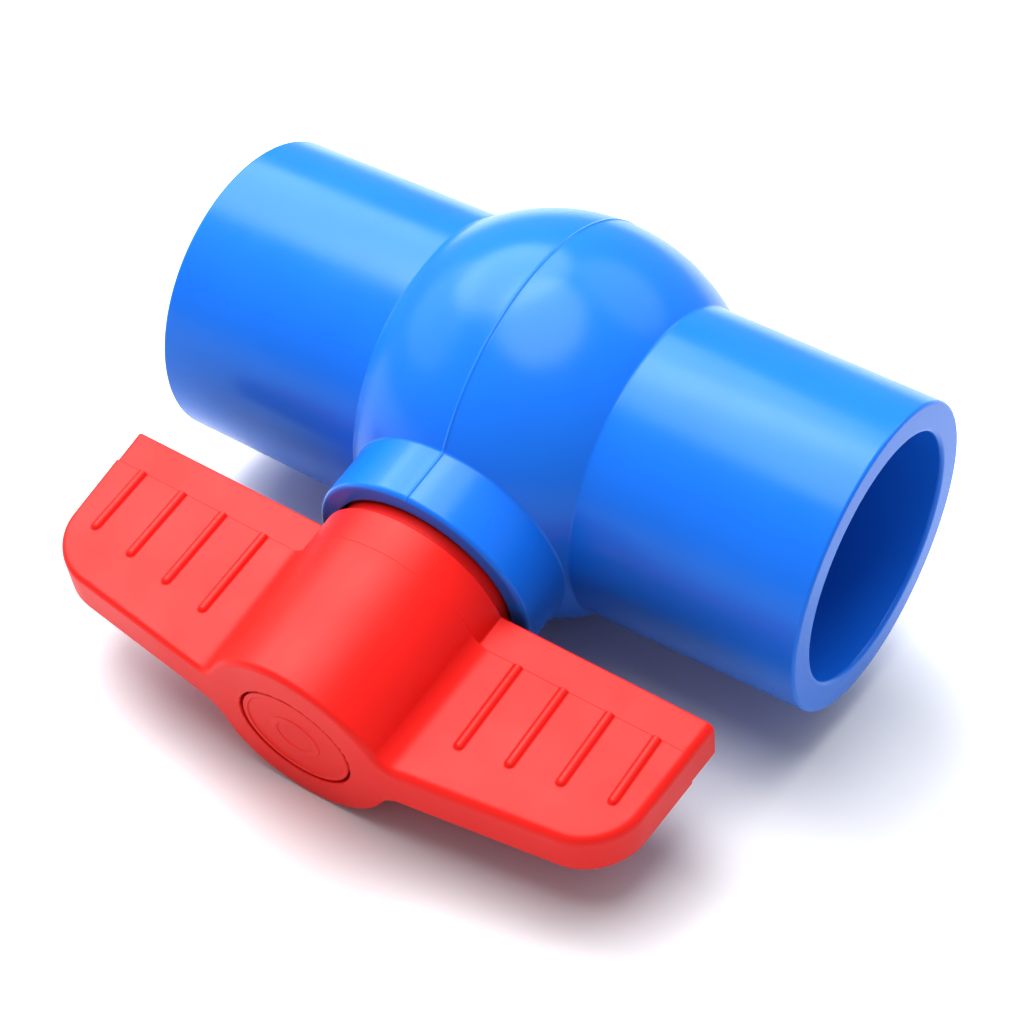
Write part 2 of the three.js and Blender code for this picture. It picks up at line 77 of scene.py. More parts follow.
COLLAR = 15.4
COLLAR_REACH = 28.9
COLLAR_EDGE = 0.7
COLLAR_FILLET = 0.6
RECESS = 12.75
RECESS_FLOOR = 23.6
RECESS_EDGE = 0.3
BOSS = 9.0
BOSS_REACH = 28.6
STEM_BORE = 5.5
STEM_BORE_EDGE = 0.2
SHOULDER_REACH = 22.7
COUNTERBORE = 8.6
GLAND_FOOT = 18.5  # where the counterbore is joined to the ball cavity
KEY_REACH = 26.2
KEY_HALF_ANGLE = 9.0

BORE = 12.5
BALL = 19.0
BALL_BORE_EDGE = 0.5
BALL_BORE_ROUNDING = 0.3
CAVITY = 19.7
CARRIER = 17.4
CARRIER_POCKET = 17.7
CARRIER_FRONT = 14.6
CARRIER_BACK = 22.0
CARRIER_SEAM = 18.0  # where its outline starts and ends, on the bore
CARRIER_FRONT_EDGE = 0.15
CARRIER_DISH_EDGE = 0.2
CARRIER_BACK_EDGE = 0.3
POCKET_BACK = 22.3

WING_HALF_LENGTH = 42.35
WING_HALF_THICKNESS = 3.4
WING_INNER_REACH = 30.5
WING_OUTER_REACH = 55.5
WING_END_SLANT = 3.6
WING_EDGE_START = 11.0  # where the outer edge leaves the end of the hub
WING_EDGE_SLANT = 7.8
WING_CORNER = 6.5
WING_EDGE = 1.2  # the same rounding diagonally opposite, as the two mould halves leave it
WING_TIGHT_EDGE = 0.7  # on the other diagonal
WING_INNER_EDGE = 0.25
FRONT_BEND = 0.5  # softness of the bend where the wing's edge leaves the end of the hub
EDGE_CHANGE_START = 10.5  # the hub's edge rounding turns into the wing's from here
EDGE_CHANGE_LENGTH = 5.5
PARTING_REACH = 35.4  # line between the two mould inserts
PARTING_BLEND = 0.12  # width of the small steps at that line
PARTING_STEP = 0.2  # heights of the steps: wing faces, wing ends and hub
END_STEP = 0.1
HUB_STEP = 0.07
HUB = 13.4
HUB_END = 12.8
HUB_EDGE = 0.8
HUB_FILLET = 1.8
FILLET_LEAST = 0.15  # fillet that is left on the inner side of the parting line
SPIGOT = 12.35
SPIGOT_REACH = 24.0
SPIGOT_ROOT = 1  # how far the spigot reaches into the hub
SPIGOT_EDGE = 0.3
SPIGOT_FILLET = 0.2
RIB_COUNT = 4
RIB_FIRST = 18.6
RIB_SPACING = 6.31
RIB_HALF_WIDTH = 0.6
RIB_HEIGHT = 0.45
RIB_END_REACH = 48.5
RIB_SLANT = 0.157
RIB_END_EDGE = 0.06
RIB_FILLET = 0.12
HOLLOW_EDGE = 0.12
WELL = 6.5
WELL_FLOOR = 41.5
WELL_CORNER = 0.3
DRIVE_HALF = 3.8  # square drive socket, half across the flats
DRIVE_REACH = (29.5, 38.4)
DRIVE_CORNER = 0.1
STEM_CLEARANCE = 5.6
STEM_CLEARANCE_REACH = 30.2
BOSS_CLEARANCE = 9.4
BOSS_CLEARANCE_REACH = 28.9
CLEARANCE_CORNER = 0.1
SCREW_CLEARANCE = 2.3
NOTCH_MIDDLE = 45.0
NOTCH_HALF_ANGLE = 55.2  # half a quarter turn, half a stop key and some play
NOTCH_PLAY = 0.4  # between the key and the floor of its notch

CAP_RECESS = 7.9
CAP_RECESS_FLOOR = 53.6
CAP_RECESS_CORNER = 0.15
CAP = 7.6
CAP_FACE = 55.4
CAP_SHOULDER = 53.9
CAP_BACK = 50.6
CAP_AXIS_GAP = 0.2  # from the axis to the outline's ends
CAP_SKIRT_DRAFT = 0.02
CAP_SHOULDER_CORNER = 0.1
CAP_EDGES = (0.2, 0.15, 0.25)  # foot of the skirt, back of the disc, face of the disc
CAP_RIM = (6.9, 6.7)  # inner slope of the rim: top and foot
CAP_RING = ((3.5, 3.3), (2.7, 2.5))  # slopes of the ring in the middle: outer and inner
CAP_DISH = 0.16  # depth of the dish
CAP_RING_SINK = 0.04  # the ring's top lies this far under the rim
CAP_RING_EDGE = 0.12

ROUND = 240  # columns round a large turned piece
INNER_ROUND = 160
CAP_ROUND = 128
ROUNDING_STEPS = 5

# Grid for the handle's surface, as (start, end, step): fine where the shape turns sharply.
HUB_STRETCHES = [(0.0, 11.0, 0.45), (11.0, 16.0, 0.3)]
RIB_STRETCH_HALF, RIB_STEP = 1.0, 0.14
BETWEEN_RIBS_STEP = 0.9
TIP_STRETCH, TIP_STEP = 2.4, 0.16
BEFORE_TIP_STEP = 0.7
GRID_MARGIN = 0.4
REACH_STRETCHES = [
    (SPIGOT_REACH - GRID_MARGIN, 30.3, 0.45),  # spigot
    (30.3, 31.6, 0.14),  # edge of the wings next to the body
    (31.6, 35.1, 0.7),
    (35.1, 35.7, 0.06),  # parting line and straight ends of the ribs
    (35.7, 45.2, 0.8),
    (45.2, 48.8, 0.2),  # round ends of the ribs
    (48.8, 53.0, 0.5),
    (53.0, 55.9, 0.15),  # outer edge
]
UP_STRETCHES = [
    (0.0, 1.2, 0.4),
    (1.2, 4.3, 0.12),  # edges, faces and ribs of a wing
    (4.3, HUB + GRID_MARGIN, 0.4),
]

# ---- Light and display --------------------------------------------------------------------------

# name, azimuth, elevation, width and height as seen from the valve (degrees), radiance
SOFTBOXES = [
    ("overhead_box", -60, 82, 54, 44, 4.4),
    ("left_box", -116, 52, 50, 44, 4.2),
    ("left_glow", -85, 30, 56, 34, 1.3),
    ("back_glow", 165, 50, 44, 34, 1.8),
]
DOME_COLOR = (0.95, 0.97, 1.0, 1)
DOME_STRENGTH = 0.50
FLOOR_COLOR = (0.73, 0.735, 0.75, 1)
DISPLAY_GAMMA = 0.82
DISPLAY_EXPOSURE = 0.25

# name: colour, shade, roughness, grain, strength of the relief, unevenness of the gloss
PLASTICS = {
    "blue_pvc": ((0.012, 0.185, 0.70), (0.011, 0.172, 0.67), 0.235, 130, 0.2, 0.03),
    "red_plastic": ((0.74, 0.016, 0.011), (0.70, 0.014, 0.009), 0.42, 160, 0.25, 0.04),
    "white_ball": ((0.80, 0.79, 0.75), (0.76, 0.75, 0.71), 0.22, 700, 0.06, 0.04),
    "grey_plastic": ((0.36, 0.38, 0.40), (0.32, 0.34, 0.36), 0.42, 900, 0.2, 0.05),
    "seat_white": ((0.82, 0.80, 0.74), (0.78, 0.76, 0.70), 0.45, 900, 0.1, 0.04),
    "black_rubber": ((0.02, 0.02, 0.021), (0.014, 0.014, 0.015), 0.55, 1600, 0.3, 0.06),
    "screw_steel": ((0.62, 0.62, 0.63), (0.55, 0.55, 0.57), 0.28, 1500, 0.2, 0.08),
}
SOFT_GLEAM = 0.3  # specular level of the two plastics that are seen most
RELIEF_DEPTH = 0.0001


# ---- Where the valve lies -----------------------------------------------------------------------

joint = frame["joints"][0]
tilt = math.atan2(joint["axis"][2], joint["axis"][1])
open_angle = -math.radians(joint["range_deg"][0])
lying = Matrix.Translation(joint["pos_m"]) @ Matrix.Rotation(tilt, 4, "X") @ Matrix.Scale(MM, 4)
lying_turned = lying @ Matrix.Rotation(open_angle, 4, "Y")
ball_centre = Vector(joint["pos_m"])


# ---- Camera, light and floor --------------------------------------------------------------------

def direction(azimuth, elevation):
    """Unit vector from the object; azimuth 0 looks along +Y, as seen from -Y."""
    a, e = math.radians(azimuth), math.radians(elevation)
    return Vector((math.sin(a) * math.cos(e), -math.cos(a) * math.cos(e), math.sin(e)))


def look(towards, roll=0.0):
    """Rotation of a camera or light that looks along the given direction."""
    turn = towards.to_track_quat("-Z", "Y").to_matrix().to_4x4()
    return turn @ Matrix.Rotation(math.radians(roll), 4, "Z")


def make_camera():
    aim = Vector((0.00063, 0.00600, 0.01640))
    azimuth, elevation, roll, distance, lens = 32.450, 40.903, 2.360, 0.32948, 91.566
    data = bpy.data.cameras.new("camera")
    data.lens = lens
    data.sensor_width = 36.0
    data.clip_start = 0.01
    camera = bpy.data.objects.new("camera", data)
    bpy.context.scene.collection.objects.link(camera)
    away = direction(azimuth, elevation)
    camera.matrix_world = Matrix.Translation(aim + distance * away) @ look(-away, roll)
    bpy.context.scene.camera = camera


def softbox(name, azimuth, elevation, width, height, radiance, distance=0.9):
    """Elliptical soft light whose sizes are seen from the valve as angles."""
    data = bpy.data.lights.new(name, "AREA")
    data.shape = "ELLIPSE"
    data.size = 2 * distance * math.tan(math.radians(width / 2))
    data.size_y = 2 * distance * math.tan(math.radians(height / 2))
    data.energy = radiance * math.pi * math.pi * data.size * data.size_y / 4
    light = bpy.data.objects.new(name, data)
    bpy.context.scene.collection.objects.link(light)
    away = direction(azimuth, elevation)
    light.matrix_world = Matrix.Translation(ball_centre + distance * away) @ look(-away)
    light.visible_camera = False


def make_world():
    """Even dome light, seen by the camera as a white background."""
    world = bpy.data.worlds.new("studio")
    bpy.context.scene.world = world
    world.use_nodes = True
    nodes, links = world.node_tree.nodes, world.node_tree.links
    nodes.clear()
    dome = nodes.new("ShaderNodeBackground")
    dome.inputs["Color"].default_value = DOME_COLOR
    dome.inputs["Strength"].default_value = DOME_STRENGTH
    backdrop = nodes.new("ShaderNodeBackground")
    backdrop.inputs["Strength"].default_value = 1.0
    rays = nodes.new("ShaderNodeLightPath")
    mix = nodes.new("ShaderNodeMixShader")
    out = nodes.new("ShaderNodeOutputWorld")
    links.new(rays.outputs["Is Camera Ray"], mix.inputs["Fac"])
    links.new(dome.outputs[0], mix.inputs[1])
    links.new(backdrop.outputs[0], mix.inputs[2])
    links.new(mix.outputs[0], out.inputs["Surface"])


def make_floor():
    half = 3.0
    mesh = bpy.data.meshes.new("floor")
    corners = [(-half, -half, 0), (half, -half, 0), (half, half, 0), (-half, half, 0)]
    mesh.from_pydata(corners, [], [(0, 1, 2, 3)])
    floor = bpy.data.objects.new("floor", mesh)
    bpy.context.scene.collection.objects.link(floor)
    material = bpy.data.materials.new("studio_floor")
    material.use_nodes = True
    shader = material.node_tree.nodes["Principled BSDF"]
    shader.inputs["Base Color"].default_value = FLOOR_COLOR
    shader.inputs["Roughness"].default_value = 0.6
    shader.inputs["Specular IOR Level"].default_value = 0.2
    mesh.materials.append(material)


# ---- Materials ----------------------------------------------------------------------------------

def plastic(name, color, shade, roughness, grain, bump, mottle):
    """Moulded plastic: a faint cloudiness in the colour, uneven gloss and a fine skin."""
    material = bpy.data.materials.new(name)
    material.use_nodes = True
    nodes, links = material.node_tree.nodes, material.node_tree.links
    shader = nodes["Principled BSDF"]
    place = nodes.new("ShaderNodeTexCoord")

    def noise(scale, detail):
        node = nodes.new("ShaderNodeTexNoise")
        node.inputs["Scale"].default_value = scale
        node.inputs["Detail"].default_value = detail
        links.new(place.outputs["Object"], node.inputs["Vector"])
        return node

    clouds = noise(55.0, 3.0)
    tint = nodes.new("ShaderNodeValToRGB")
    tint.color_ramp.elements[0].position = 0.32
    tint.color_ramp.elements[0].color = (*shade, 1)
    tint.color_ramp.elements[1].position = 0.68
    tint.color_ramp.elements[1].color = (*color, 1)
    links.new(clouds.outputs["Fac"], tint.inputs["Fac"])
    links.new(tint.outputs["Color"], shader.inputs["Base Color"])

    smears = noise(120.0, 4.0)
    gloss = nodes.new("ShaderNodeMapRange")
    gloss.inputs["From Min"].default_value = 0.3
    gloss.inputs["From Max"].default_value = 0.7
    gloss.inputs["To Min"].default_value = roughness - mottle
    gloss.inputs["To Max"].default_value = roughness + mottle
    links.new(smears.outputs["Fac"], gloss.inputs["Value"])
    links.new(gloss.outputs["Result"], shader.inputs["Roughness"])

    skin = noise(grain, 2.0)
    relief = nodes.new("ShaderNodeBump")
    relief.inputs["Strength"].default_value = bump
    relief.inputs["Distance"].default_value = RELIEF_DEPTH
    links.new(skin.outputs["Fac"], relief.inputs["Height"])
    links.new(relief.outputs["Normal"], shader.inputs["Normal"])
    return material


def make_materials():
    made = {name: plastic(name, *recipe) for name, recipe in PLASTICS.items()}

    def shader(name):
        return made[name].node_tree.nodes["Principled BSDF"]

    for name in ("blue_pvc", "red_plastic"):
        shader(name).inputs["Specular IOR Level"].default_value = SOFT_GLEAM
    shader("screw_steel").inputs["Metallic"].default_value = 1.0
    return made


# ---- Outlines of turned shapes ------------------------------------------------------------------
# An outline is a list of (along, radius, normal along, normal radius). It runs with the material
# on its right, so that its left side is the surface.

def unit(v):
    return v / np.linalg.norm(v)


def chord(sphere, radius):
    """How far from the middle of a sphere a circle of the given radius lies on it."""
    return math.sqrt(sphere**2 - radius**2)


def rounded(corners, steps=ROUNDING_STEPS):
    """Outline through corners (along, radius, rounding); the first and last are plain ends."""
    points = [np.array(c[:2], float) for c in corners]
    out = []
    for i, here in enumerate(points):
        first, last = i == 0, i == len(points) - 1
        before = None if first else unit(here - points[i - 1])
        after = None if last else unit(points[i + 1] - here)
        if first or last:
            t = after if first else before
            out.append((*here, -t[1], t[0]))
            continue
        turn = math.atan2(before[0] * after[1] - before[1] * after[0], before @ after)
        rounding = corners[i][2]
        side = 1 if turn < 0 else -1
        start = here - before * rounding * math.tan(abs(turn) / 2)
        facing = math.atan2(before[0], -before[1])
        centre = start - side * rounding * np.array((math.cos(facing), math.sin(facing)))
        for k in range(steps + 1):
            angle = facing + turn * k / steps
            normal = np.array((math.cos(angle), math.sin(angle)))
            out.append((*(centre + side * rounding * normal), *normal))
    return out


def sphere_fillet(sphere, wall, rounding, steps=6):
    """Concave fillet from a sphere to a coaxial wall outside it. Starts on the sphere."""
    centre = np.array((chord(sphere + rounding, wall + rounding), wall + rounding))
    start = math.atan2(centre[1], centre[0])
    out = []
    for k in range(steps + 1):
        angle = start + (math.pi / 2 - start) * k / steps
        normal = np.array((math.cos(angle), math.sin(angle)))
        out.append((*(centre - rounding * normal), *normal))
    return out


def flash(x):
    """Height of the parting line, and its slope, at a distance x from the middle plane."""
    height = FLASH_HEIGHT * math.exp(-((x / FLASH_WIDTH) ** 2))
    return height, -2 * x / FLASH_WIDTH**2 * height


def belt(sphere, end, inward=False, steps=24):
    """Part of a sphere between -end and +end along the pipe, as an outline."""
    spacing = 0.2  # least distance from the points beside the parting line to the next
    top = math.asin(end / sphere)
    coarse = [sphere * math.sin(top * k / steps) for k in range(1, steps + 1)]
    half = FLASH_PLACES + [x for x in coarse if x > FLASH_PLACES[-1] + spacing]
    places = [-x for x in reversed(half)] + [0.0] + half
    out = []
    for x in places:
        radius = math.sqrt(sphere**2 - x**2)
        if inward:
            out.append((x, radius, -x / sphere, -radius / sphere))
            continue
        height, slope = flash(x)
        normal = unit(np.array((x / radius - slope, 1.0)))
        out.append((x, radius + height, *normal))
    return out[::-1] if inward else out


def mirrored(outline):
    return [(-a, r, -na, nr) for a, r, na, nr in reversed(outline)]


def along_pipe(angle, along, radius):
    return Vector((along, -radius * math.cos(angle), radius * math.sin(angle)))


def along_stem(angle, along, radius):
    return Vector((radius * math.cos(angle), -along, radius * math.sin(angle)))


# ---- Mesh helpers -------------------------------------------------------------------------------

def normal_layer(bm):
    return bm.verts.layers.float_vector.get("facing") or bm.verts.layers.float_vector.new("facing")


def outline_rings(bm, outline, place, count):
    """A ring of vertices round the pipe or the stem for each point of an outline."""
    layer = normal_layer(bm)
    rings = []
    for a, r, na, nr in outline:
        ring = []
        for i in range(count):
            angle = 2 * math.pi * i / count
            vert = bm.verts.new(place(angle, a, r))
            vert[layer] = place(angle, na, nr)
            ring.append(vert)
        rings.append(ring)
    return rings


def join_rings(bm, ring, after):
    for i in range(len(ring)):
        k = (i + 1) % len(ring)
        bm.faces.new((ring[i], ring[k], after[k], after[i]))


def turned(outline, place, count=ROUND):
    """Closed ring-shaped mesh: an outline turned about the pipe or the stem."""
    bm = bmesh.new()
    rings = outline_rings(bm, outline, place, count)
    for j, ring in enumerate(rings):
        join_rings(bm, ring, rings[(j + 1) % len(rings)])
    return bm


def solid_disc(outline, place, count):
    """Turned mesh whose outline starts and ends next to the axis: a fan closes both ends."""
    bm = bmesh.new()
    layer = normal_layer(bm)
    rings = outline_rings(bm, outline, place, count)
    for ring, after in zip(rings, rings[1:]):
        join_rings(bm, ring, after)
    for ring, (a, _, na, _) in ((rings[0], outline[0]), (rings[-1], outline[-1])):
        hub = bm.verts.new(place(0, a, 0))
        hub[layer] = place(0, math.copysign(1, na), 0)
        for i in range(count):
            bm.faces.new((hub, ring[i], ring[(i + 1) % count]))
    return bm


def piece(name, bm, slot, body, replaces, turning=False):
    """Puts a finished mesh in its place in the row frame, with its exact normals."""
    bmesh.ops.recalc_face_normals(bm, faces=bm.faces)
    layer = normal_layer(bm)
    facing = np.array([v[layer] for v in bm.verts])
    mesh = bpy.data.meshes.new(name)
    bm.to_mesh(mesh)
    bm.free()
    return place_mesh(name, mesh, facing, slot, body, replaces, turning)


def place_mesh(name, mesh, facing, slot, body, replaces, turning):
    """Makes an object of a mesh in millimetres and registers it with the frame."""
    transform = lying_turned if turning else lying
    mesh.transform(transform)
    turn = np.array(transform.to_3x3()) / MM
    facing = facing @ turn.T
    facing /= np.maximum(np.linalg.norm(facing, axis=1), 1e-9)[:, None]
    mesh.polygons.foreach_set("use_smooth", [True] * len(mesh.polygons))
    mesh.normals_split_custom_set_from_vertices(facing.tolist())
    if "facing" in mesh.attributes:
        mesh.attributes.remove(mesh.attributes["facing"])
    mesh.materials.append(materials[slot])
    thing = bpy.data.objects.new(name, mesh)
    bpy.context.scene.collection.objects.link(thing)
    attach(thing, body)
    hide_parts(*replaces)
    return thing


# ---- Body ---------------------------------------------------------------------------------------

def body_half():
    """Right half of the body's outline about the pipe: bulge, mouth and back to the cavity."""
    wall_start, pocket_end = 0.2, 0.02  # clear of the fillet and of the cavity's edge
    fillet = sphere_fillet(BULGE, SOCKET_OUTER, SOCKET_FILLET)
    walls = rounded([
        (fillet[-1][0] + wall_start, SOCKET_OUTER, 0),
        (HALF_LENGTH, SOCKET_OUTER_END, MOUTH_OUTER_EDGE),
        (HALF_LENGTH, SOCKET_MOUTH, MOUTH_INNER_EDGE),
        (PIPE_STOP, SOCKET_ROOT, STOP_CORNER),
        (PIPE_STOP, BORE, BORE_EDGE),
        (POCKET_BACK, BORE, POCKET_EDGE),
        (POCKET_BACK, CARRIER_POCKET, POCKET_CORNER),
        (chord(CAVITY, CARRIER_POCKET) + pocket_end, CARRIER_POCKET, 0),
    ])
    return fillet[1:] + walls


def body_outline():
    half = body_half()
    sphere_end = sphere_fillet(BULGE, SOCKET_OUTER, SOCKET_FILLET)[0][0]
    cavity = belt(CAVITY, chord(CAVITY, CARRIER_POCKET), inward=True)
    return belt(BULGE, sphere_end) + half + cavity + mirrored(half)


def collar_outline(fillet):
    """Outline about the stem: from the fillet over the collar's rim, and down inside the gland."""
    wall_start = 0.1  # clear of the fillet
    return fillet[1:] + rounded([
        (fillet[-1][0] + wall_start, COLLAR, 0),
        (COLLAR_REACH, COLLAR, COLLAR_EDGE),
        (COLLAR_REACH, RECESS, RECESS_EDGE),
        (RECESS_FLOOR, RECESS, RECESS_EDGE),
        (RECESS_FLOOR, BOSS, RECESS_EDGE),
        (BOSS_REACH, BOSS, RECESS_EDGE),
        (BOSS_REACH, STEM_BORE, STEM_BORE_EDGE),
        (SHOULDER_REACH, STEM_BORE, STEM_BORE_EDGE),
        (SHOULDER_REACH, COUNTERBORE, RECESS_EDGE),
        (GLAND_FOOT, COUNTERBORE, 0),
    ])


def under_collar(p):
    """True on the patch of the bulge that the collar stands on."""
    least_reach, half_width, skin = 15, 15.8, 0.5
    return p.length > BULGE - skin and p.y < -least_reach and abs(p.x) < half_width


def under_gland(p):
    """True on the patch of the ball cavity that the gland opens into."""
    least_reach, skin = 12, 0.05
    return abs(p.length - CAVITY) < skin and p.y < -least_reach


def bounded_by(bm, inside, reach):
    """Cuts the faces that pass the test at a plane across the stem; returns the rim in order."""
    faces = [f for f in bm.faces if all(inside(v.co) for v in f.verts)]
    edges = list(dict.fromkeys(e for f in faces for e in f.edges))
    verts = list(dict.fromkeys(v for f in faces for v in f.verts))
    cut = bmesh.ops.bisect_plane(bm, geom=faces + edges + verts, dist=1e-5,
                                 plane_co=(0, -reach, 0), plane_no=(0, -1, 0), clear_outer=True)
    rim = [v for v in cut["geom_cut"] if isinstance(v, bmesh.types.BMVert)]
    return sorted(rim, key=stem_angle)


def stem_angle(vert):
    return math.atan2(vert.co.z, vert.co.x)


def stem_column(angle, outline, foot, collar_points):
    """Points and normals of the stem-side outline at one angle, with flash, stop keys and foot."""
    x = foot.co.x
    touch = 0.01
    across = math.degrees(math.asin(min(1.0, abs(math.sin(angle)))))
    out = []
    for n, (a, r, na, nr) in enumerate(outline):
        height, slope = flash(x) if n < collar_points else (0.0, 0.0)
        in_recess = BOSS - touch < r < RECESS + touch and n >= collar_points
        if across < KEY_HALF_ANGLE and in_recess:
            a = max(a, KEY_REACH)
        radial = Vector((math.cos(angle), 0, math.sin(angle)))
        round_about = Vector((-math.sin(angle), 0, math.cos(angle)))
        normal = nr * (radial + slope * math.sin(angle) * round_about) + na * Vector((0, -1, 0))
        out.append((along_stem(angle, a, r + height), normal))
    return out


def join_rims(bm, first, second):
    """Closes the strip between two rims, both sorted by angle round the stem."""
    def following(rim, k):
        return rim[(k + 1) % len(rim)]

    def following_angle(rim, k):
        return stem_angle(following(rim, k)) + (2 * math.pi if k + 1 >= len(rim) else 0)

    i, j = 0, 0
    while i < len(first) or j < len(second):
        a, b = first[i % len(first)], second[j % len(second)]
        first_is_next = following_angle(first, i) <= following_angle(second, j)
        if j >= len(second) or (i < len(first) and first_is_next):
            bm.faces.new((a, following(first, i), b))
            i += 1
        else:
            bm.faces.new((a, following(second, j), b))
            j += 1


def make_body():
    bm = turned(body_outline(), along_pipe)
    layer = normal_layer(bm)
    fillet = sphere_fillet(BULGE, COLLAR, COLLAR_FILLET)
    outline = collar_outline(fillet)
    collar_points = len(fillet) + ROUNDING_STEPS + 1  # up to the top of the rim's rounding

    outer = bounded_by(bm, under_collar, fillet[0][0])
    inner = bounded_by(bm, under_gland, chord(CAVITY, COUNTERBORE))
    for vert in outer:
        vert[layer] = vert.co.normalized()
    for vert in inner:
        vert[layer] = -vert.co.normalized()

    columns = []
    for foot in outer:
        column = [foot]
        for point, normal in stem_column(stem_angle(foot), outline, foot, collar_points):
            vert = bm.verts.new(point)
            vert[layer] = normal
            column.append(vert)
        columns.append(column)
    for i, column in enumerate(columns):
        after = columns[(i + 1) % len(columns)]
        for k in range(len(column) - 1):
            bm.faces.new((column[k], after[k], after[k + 1], column[k + 1]))
    join_rims(bm, [column[-1] for column in columns], inner)
    piece("valve_housing", bm, "blue_pvc", STILL, ["body"])


# ---- Ball and seats -----------------------------------------------------------------------------

def make_ball():
    edge = BORE + BALL_BORE_EDGE
    end = chord(BALL, edge)
    top = math.asin(end / BALL)
    points = 49
    sphere = [(BALL * math.sin(t), BALL * math.cos(t), math.sin(t), math.cos(t))
              for t in np.linspace(-top, top, points)]
    out, down = 0.001, 0.002  # keep the bevel's end off the sphere's last point
    bore = rounded([(end + out, edge - down, 0),
                    (end - BALL_BORE_EDGE, BORE, BALL_BORE_ROUNDING),
                    (BALL_BORE_EDGE - end, BORE, BALL_BORE_ROUNDING),
                    (-end - out, edge - down, 0)], 3)
    piece("bored_ball", turned(sphere + bore, along_pipe, INNER_ROUND), "white_ball", TURNING,
          ["ball"], turning=True)


def make_carrier(side):
    """Ring that holds a seat against the ball."""
    outline = rounded([(CARRIER_SEAM, BORE, 0),
                       (CARRIER_FRONT, BORE, CARRIER_FRONT_EDGE),
                       (chord(BALL + GAP, CARRIER), CARRIER, CARRIER_DISH_EDGE),
                       (CARRIER_BACK, CARRIER, CARRIER_BACK_EDGE),
                       (CARRIER_BACK, BORE, CARRIER_BACK_EDGE),
                       (CARRIER_SEAM + 0.01, BORE, 0)])
    if side < 0:
        outline = mirrored(outline)
    word = "left" if side < 0 else "right"
    piece(f"seat_ring_{word}", turned(outline, along_pipe, INNER_ROUND), "grey_plastic", STILL,
          [f"seat_carrier_{word}"])


# ---- Handle: distance functions -----------------------------------------------------------------

def both(a, b, rounding):
    """Distance to the overlap of two shapes, with the edge between them rounded."""
    corner = np.hypot(np.maximum(a + rounding, 0), np.maximum(b + rounding, 0))
    return np.minimum(np.maximum(a, b), -rounding) + corner


def either(a, b, rounding):
    """Distance to two shapes joined, with a fillet in the corner between them."""
    return -both(-a, -b, rounding)


def bend(a, b, softness):
    """Distance to the overlap of two nearly parallel half planes, softly bent between them."""
    near = np.maximum(softness - np.abs(a - b), 0)
    return np.maximum(a, b) + near**2 / (4 * softness)


def plan(ax, reach, strip):
    """Distance to the wings' outline, seen along their thickness; ax is measured from the middle.

    strip is 1 on the inner side of the parting line and 0 beyond it.
    """
    end_slant, edge_slant = math.radians(WING_END_SLANT), math.radians(WING_EDGE_SLANT)
    end = ((ax - WING_HALF_LENGTH) * math.cos(end_slant)
           + (reach - WING_INNER_REACH) * math.sin(end_slant))
    edge = ((ax - WING_EDGE_START) * math.sin(edge_slant)
            + (reach - WING_OUTER_REACH) * math.cos(edge_slant))
    front = bend(edge, reach - WING_OUTER_REACH, FRONT_BEND)
    return both(front, end + END_STEP * strip, WING_CORNER)


def handle_outside(x, reach, z):
    """Wings, hub and spigot, without ribs."""
    ax, az, r = np.abs(x), np.abs(z), np.hypot(x, z)
    strip = np.clip((PARTING_REACH - reach) / PARTING_BLEND + 0.5, 0, 1)
    plate = az - (WING_HALF_THICKNESS - PARTING_STEP * strip)
    share = (reach - WING_INNER_REACH) / (WING_OUTER_REACH - WING_INNER_REACH)
    hub = r - (HUB + (HUB_END - HUB) * share - HUB_STEP * strip)
    section = either(plate, hub, HUB_FILLET * (1 - strip) + FILLET_LEAST)
    towards_wing = np.clip((ax - EDGE_CHANGE_START) / EDGE_CHANGE_LENGTH, 0, 1)
    wing_edge = np.where(x * z > 0, WING_EDGE, WING_TIGHT_EDGE)
    edge = HUB_EDGE + (wing_edge - HUB_EDGE) * towards_wing**2 * (3 - 2 * towards_wing)
    shape = both(section, plan(ax, reach, strip), edge)
    shape = both(shape, WING_INNER_REACH - reach, WING_INNER_EDGE)
    spigot = both(r - SPIGOT, SPIGOT_REACH - reach, SPIGOT_EDGE)
    spigot = both(spigot, reach - WING_INNER_REACH - SPIGOT_ROOT, SPIGOT_EDGE)
    return either(shape, spigot, SPIGOT_FILLET)


def ribs(x, reach, z):
    """Half-round bars on both faces of the wings, straight at one end and round at the other."""
    far = 9.0
    ax, az = np.abs(x), np.abs(z)
    radius = (RIB_HALF_WIDTH**2 + RIB_HEIGHT**2) / (2 * RIB_HEIGHT)
    level = WING_HALF_THICKNESS + RIB_HEIGHT - radius
    out = np.full(np.broadcast(x, reach, z).shape, far, np.float32)
    for i in range(RIB_COUNT):
        middle = RIB_FIRST + i * RIB_SPACING
        end = RIB_END_REACH - RIB_SLANT * (middle - RIB_FIRST) - RIB_HALF_WIDTH
        past = np.maximum(reach - end, 0)
        bar = np.sqrt((ax - middle) ** 2 + (az - level) ** 2 + past**2) - radius
        out = np.minimum(out, both(bar, PARTING_REACH - reach, RIB_END_EDGE))
    return out


